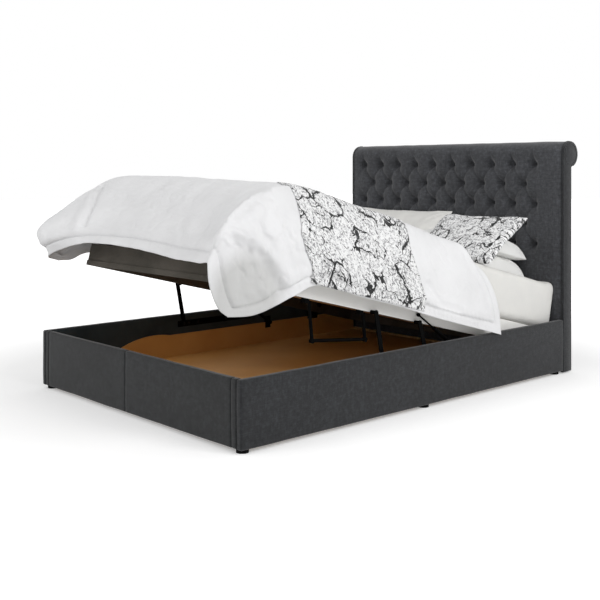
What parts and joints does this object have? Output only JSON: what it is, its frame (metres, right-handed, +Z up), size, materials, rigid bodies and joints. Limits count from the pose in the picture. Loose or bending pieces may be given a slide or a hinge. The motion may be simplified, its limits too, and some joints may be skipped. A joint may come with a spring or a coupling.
{
  "type": "ottoman bed",
  "caption": "Upholstered lift-up storage bed with a tufted roll-top headboard; platform, mattress and bedding tilt up over a storage box.",
  "frame": {"origin": "bottom centre of the whole bed's bounding box, on the floor", "axes": "+Z up, +Y from the foot to the headboard, X across the bed"},
  "size_m": [1.6732, 2.551, 1.269],
  "materials": {
    "upholstery": "charcoal woven upholstery, matt",
    "white_linen": "white cotton sateen, soft matt",
    "print_linen": "white cotton with a black printed pattern",
    "deck_fabric": "greige platform cloth",
    "black_felt": "black non-woven lining",
    "hardboard": "smooth brown hardboard",
    "timber": "planed softwood",
    "slat_wood": "bent beech ply",
    "black_steel": "satin black powder coat",
    "zinc_steel": "zinc plated",
    "black_plastic": "moulded black"
  },
  "bodies": {
    "base": {"foot_panel": "upholstery", "side_panel_left": "upholstery", "side_panel_right": "upholstery", "head_crosspiece": "timber", "corner_brackets": "zinc_steel", "storage_floor_left": "hardboard", "storage_floor_right": "hardboard", "floor_beam": "timber", "floor_ledges": "timber", "storage_liner_left": "hardboard", "storage_liner_right": "hardboard", "side_lining_left": "black_felt", "side_lining_right": "black_felt", "foot_lining": "black_felt", "feet": "black_plastic", "lift_bar_left": "black_steel", "lift_bar_right": "black_steel", "lift_bar_bolts": "zinc_steel", "arm_pins": "zinc_steel", "strut_plate_left": "black_steel", "strut_plate_right": "black_steel", "hinge_bracket_left": "black_steel", "hinge_bracket_right": "black_steel", "hinge_pins": "zinc_steel", "headboard_board": "upholstery", "headboard_pad": "upholstery", "headboard_bolts": "zinc_steel", "headboard_roll": "upholstery", "headboard_buttons": "upholstery", "headboard_side_left": "upholstery", "headboard_side_right": "upholstery"},
    "platform": {"platform_rail_left": "deck_fabric", "platform_rail_right": "deck_fabric", "platform_rail_foot": "deck_fabric", "platform_rail_head": "deck_fabric", "platform_foot_edge": "black_steel", "platform_beam": "timber", "slat_cleats": "timber", "slats": "slat_wood", "strut_studs": "zinc_steel", "prop_hinge_blocks": "black_steel", "mattress": "white_linen", "duvet": "white_linen", "runner": "print_linen", "pillow_far": "white_linen", "pillow_near_lower": "white_linen", "pillow_near_upper": "white_linen", "pillow_patterned": "print_linen"},
    "prop": {"prop_frame": "black_steel"},
    "front_arm_left": {"front_arm_left": "black_steel"},
    "front_arm_right": {"front_arm_right": "black_steel"},
    "rear_arm_left": {"rear_arm_left": "black_steel"},
    "rear_arm_right": {"rear_arm_right": "black_steel"},
    "strut_body_left": {"strut_body_left": "black_steel"},
    "strut_body_right": {"strut_body_right": "black_steel"},
    "strut_rod_left": {"strut_rod_left": "zinc_steel"},
    "strut_rod_right": {"strut_rod_right": "zinc_steel"}
  },
  "joints": [
    {"name": "platform_tilt", "type": "hinge", "parent": "base", "child": "platform", "pos_m": [0, 0.73251, 0.26], "axis": [1, 0, 0], "range_deg": [0, 14]},
    {"name": "prop_fold", "type": "hinge", "parent": "platform", "child": "prop", "pos_m": [0.712, -0.67535, 0.54918], "axis": [0, 0.9703, -0.2419], "range_deg": [0, 90.5]},
    {"name": "front_arm_left_fold", "type": "hinge", "parent": "base", "child": "front_arm_left", "pos_m": [-0.765, -0.26849, 0.24], "axis": [1, 0, 0], "range_deg": [0, 79.5]},
    {"name": "rear_arm_left_fold", "type": "hinge", "parent": "base", "child": "rear_arm_left", "pos_m": [-0.765, 0.02951, 0.24], "axis": [1, 0, 0], "range_deg": [0, 74.5]},
    {"name": "strut_swing_left", "type": "hinge", "parent": "base", "child": "strut_body_left", "pos_m": [-0.743, 0.35951, 0.184], "axis": [1, 0, 0], "range_deg": [0, 25.41]},
    {"name": "strut_slide_left", "type": "slide", "parent": "strut_body_left", "child": "strut_rod_left", "axis": [0, -0.8263, 0.5632], "range_m": [-0.05172, 0]},
    {"name": "front_arm_right_fold", "type": "hinge", "parent": "base", "child": "front_arm_right", "pos_m": [0.765, -0.26849, 0.24], "axis": [1, 0, 0], "range_deg": [0, 79.5]},
    {"name": "rear_arm_right_fold", "type": "hinge", "parent": "base", "child": "rear_arm_right", "pos_m": [0.765, 0.02951, 0.24], "axis": [1, 0, 0], "range_deg": [0, 74.5]},
    {"name": "strut_swing_right", "type": "hinge", "parent": "base", "child": "strut_body_right", "pos_m": [0.743, 0.35951, 0.184], "axis": [1, 0, 0], "range_deg": [0, 25.41]},
    {"name": "strut_slide_right", "type": "slide", "parent": "strut_body_right", "child": "strut_rod_right", "axis": [0, -0.8263, 0.5632], "range_m": [-0.05172, 0]}
  ],
  "couplings": [
    {"joint": "prop_fold", "follows": "platform_tilt", "ratio": 6.4286},
    {"joint": "front_arm_left_fold", "follows": "platform_tilt", "ratio": 5.6429},
    {"joint": "rear_arm_left_fold", "follows": "platform_tilt", "ratio": 5.2857},
    {"joint": "strut_swing_left", "follows": "platform_tilt", "ratio": 1.7794},
    {"joint": "strut_slide_left", "follows": "platform_tilt", "m_per_rad": -0.20962},
    {"joint": "front_arm_right_fold", "follows": "platform_tilt", "ratio": 5.6429},
    {"joint": "rear_arm_right_fold", "follows": "platform_tilt", "ratio": 5.2857},
    {"joint": "strut_swing_right", "follows": "platform_tilt", "ratio": 1.7794},
    {"joint": "strut_slide_right", "follows": "platform_tilt", "m_per_rad": -0.20962}
  ]
}
